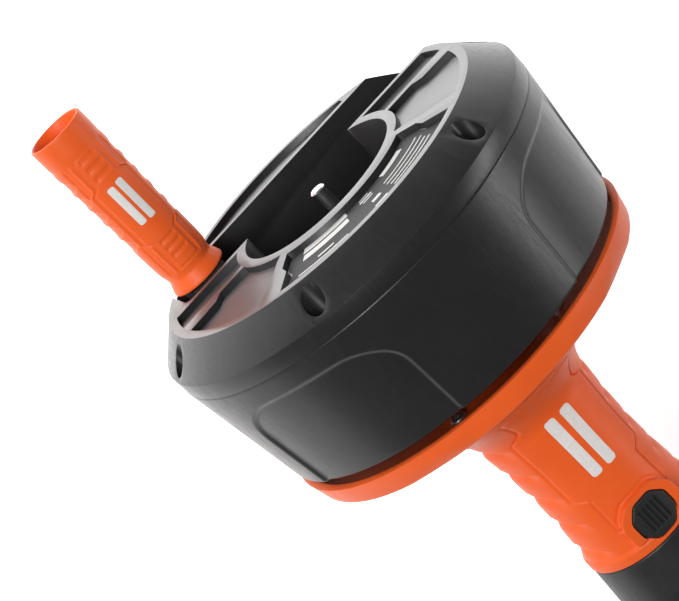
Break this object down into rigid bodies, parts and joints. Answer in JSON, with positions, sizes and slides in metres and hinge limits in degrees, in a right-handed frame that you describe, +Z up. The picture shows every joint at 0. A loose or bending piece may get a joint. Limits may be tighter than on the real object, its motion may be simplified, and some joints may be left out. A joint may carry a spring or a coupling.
{
  "type": "drain snake machine",
  "caption": "Hand-held drain snake: a wound cable in a turning drum behind a straight grip, with a drill shank, a folding crank and a feed nose with a thumb brake.",
  "frame": {"origin": "under the middle of the whole tool, at the height of the drum's lowest point", "axes": "+X along the drum's axis from the rear face to the nose, +Y the way the crank folds, +Z up towards the thumb button"},
  "size_m": [0.3836, 0.19, 0.19],
  "materials": {
    "drum_black": "semi-gloss moulded black plastic",
    "tool_orange": "satin moulded orange plastic",
    "nose_black": "satin moulded black plastic",
    "button_black": "soft matt black",
    "label_grey": "printed label film",
    "bright_steel": "ground steel",
    "zinc_steel": "zinc-plated steel",
    "dark_steel": "blackened steel",
    "spring_steel": "spring steel",
    "cable_steel": "wound wire cable",
    "bearing_bronze": "sintered bronze",
    "washer_nylon": "natural nylon"
  },
  "bodies": {
    "grip": {"flange_plate": "tool_orange", "grip_top": "tool_orange", "grip_bottom": "tool_orange", "nose_cap": "nose_black", "rear_bush": "bearing_bronze", "front_bush": "bearing_bronze", "thrust_washer": "washer_nylon", "flange_screws": "zinc_steel", "grip_screws": "dark_steel", "nose_screws": "dark_steel", "nose_ferrule": "bright_steel", "cable_guide": "nose_black", "button_spring": "spring_steel"},
    "drum": {"drum_shell": "drum_black", "rear_cover": "drum_black", "cover_screws": "dark_steel", "label_plate": "label_grey", "hub_tube": "zinc_steel", "hub_screws": "zinc_steel", "retaining_ring": "spring_steel", "cable_funnel": "washer_nylon", "drive_shank": "bright_steel", "shank_plate": "zinc_steel", "shank_screws": "zinc_steel", "cable": "cable_steel", "cable_clip": "nose_black", "bulb_head": "cable_steel", "pivot_pin": "bright_steel", "detent_leaf": "spring_steel", "detent_screw": "zinc_steel"},
    "crank": {"crank_yoke": "nose_black", "crank_spindle": "bright_steel", "sleeve_washer": "zinc_steel", "sleeve_screw": "zinc_steel"},
    "sleeve": {"crank_sleeve": "tool_orange"},
    "button": {"thumb_button": "button_black", "brake_shoe": "nose_black"}
  },
  "joints": [
    {"name": "drum_spin", "type": "hinge", "parent": "grip", "child": "drum", "pos_m": [-0.1062, 0, 0.095], "axis": [1, 0, 0], "continuous": true},
    {"name": "crank_fold", "type": "hinge", "parent": "drum", "child": "crank", "pos_m": [-0.0897, -0.0527, 0.0547], "axis": [0, 0, -1], "range_deg": [0, 90]},
    {"name": "sleeve_spin", "type": "hinge", "parent": "crank", "child": "sleeve", "pos_m": [-0.1062, -0.0527, 0.0547], "axis": [1, 0, 0], "continuous": true},
    {"name": "button_press", "type": "slide", "parent": "grip", "child": "button", "axis": [0, 0, -1], "range_m": [0, 0.003], "stiffness_N_per_m": 600, "springref_m": -0.001, "deforming": ["button_spring"]}
  ]
}
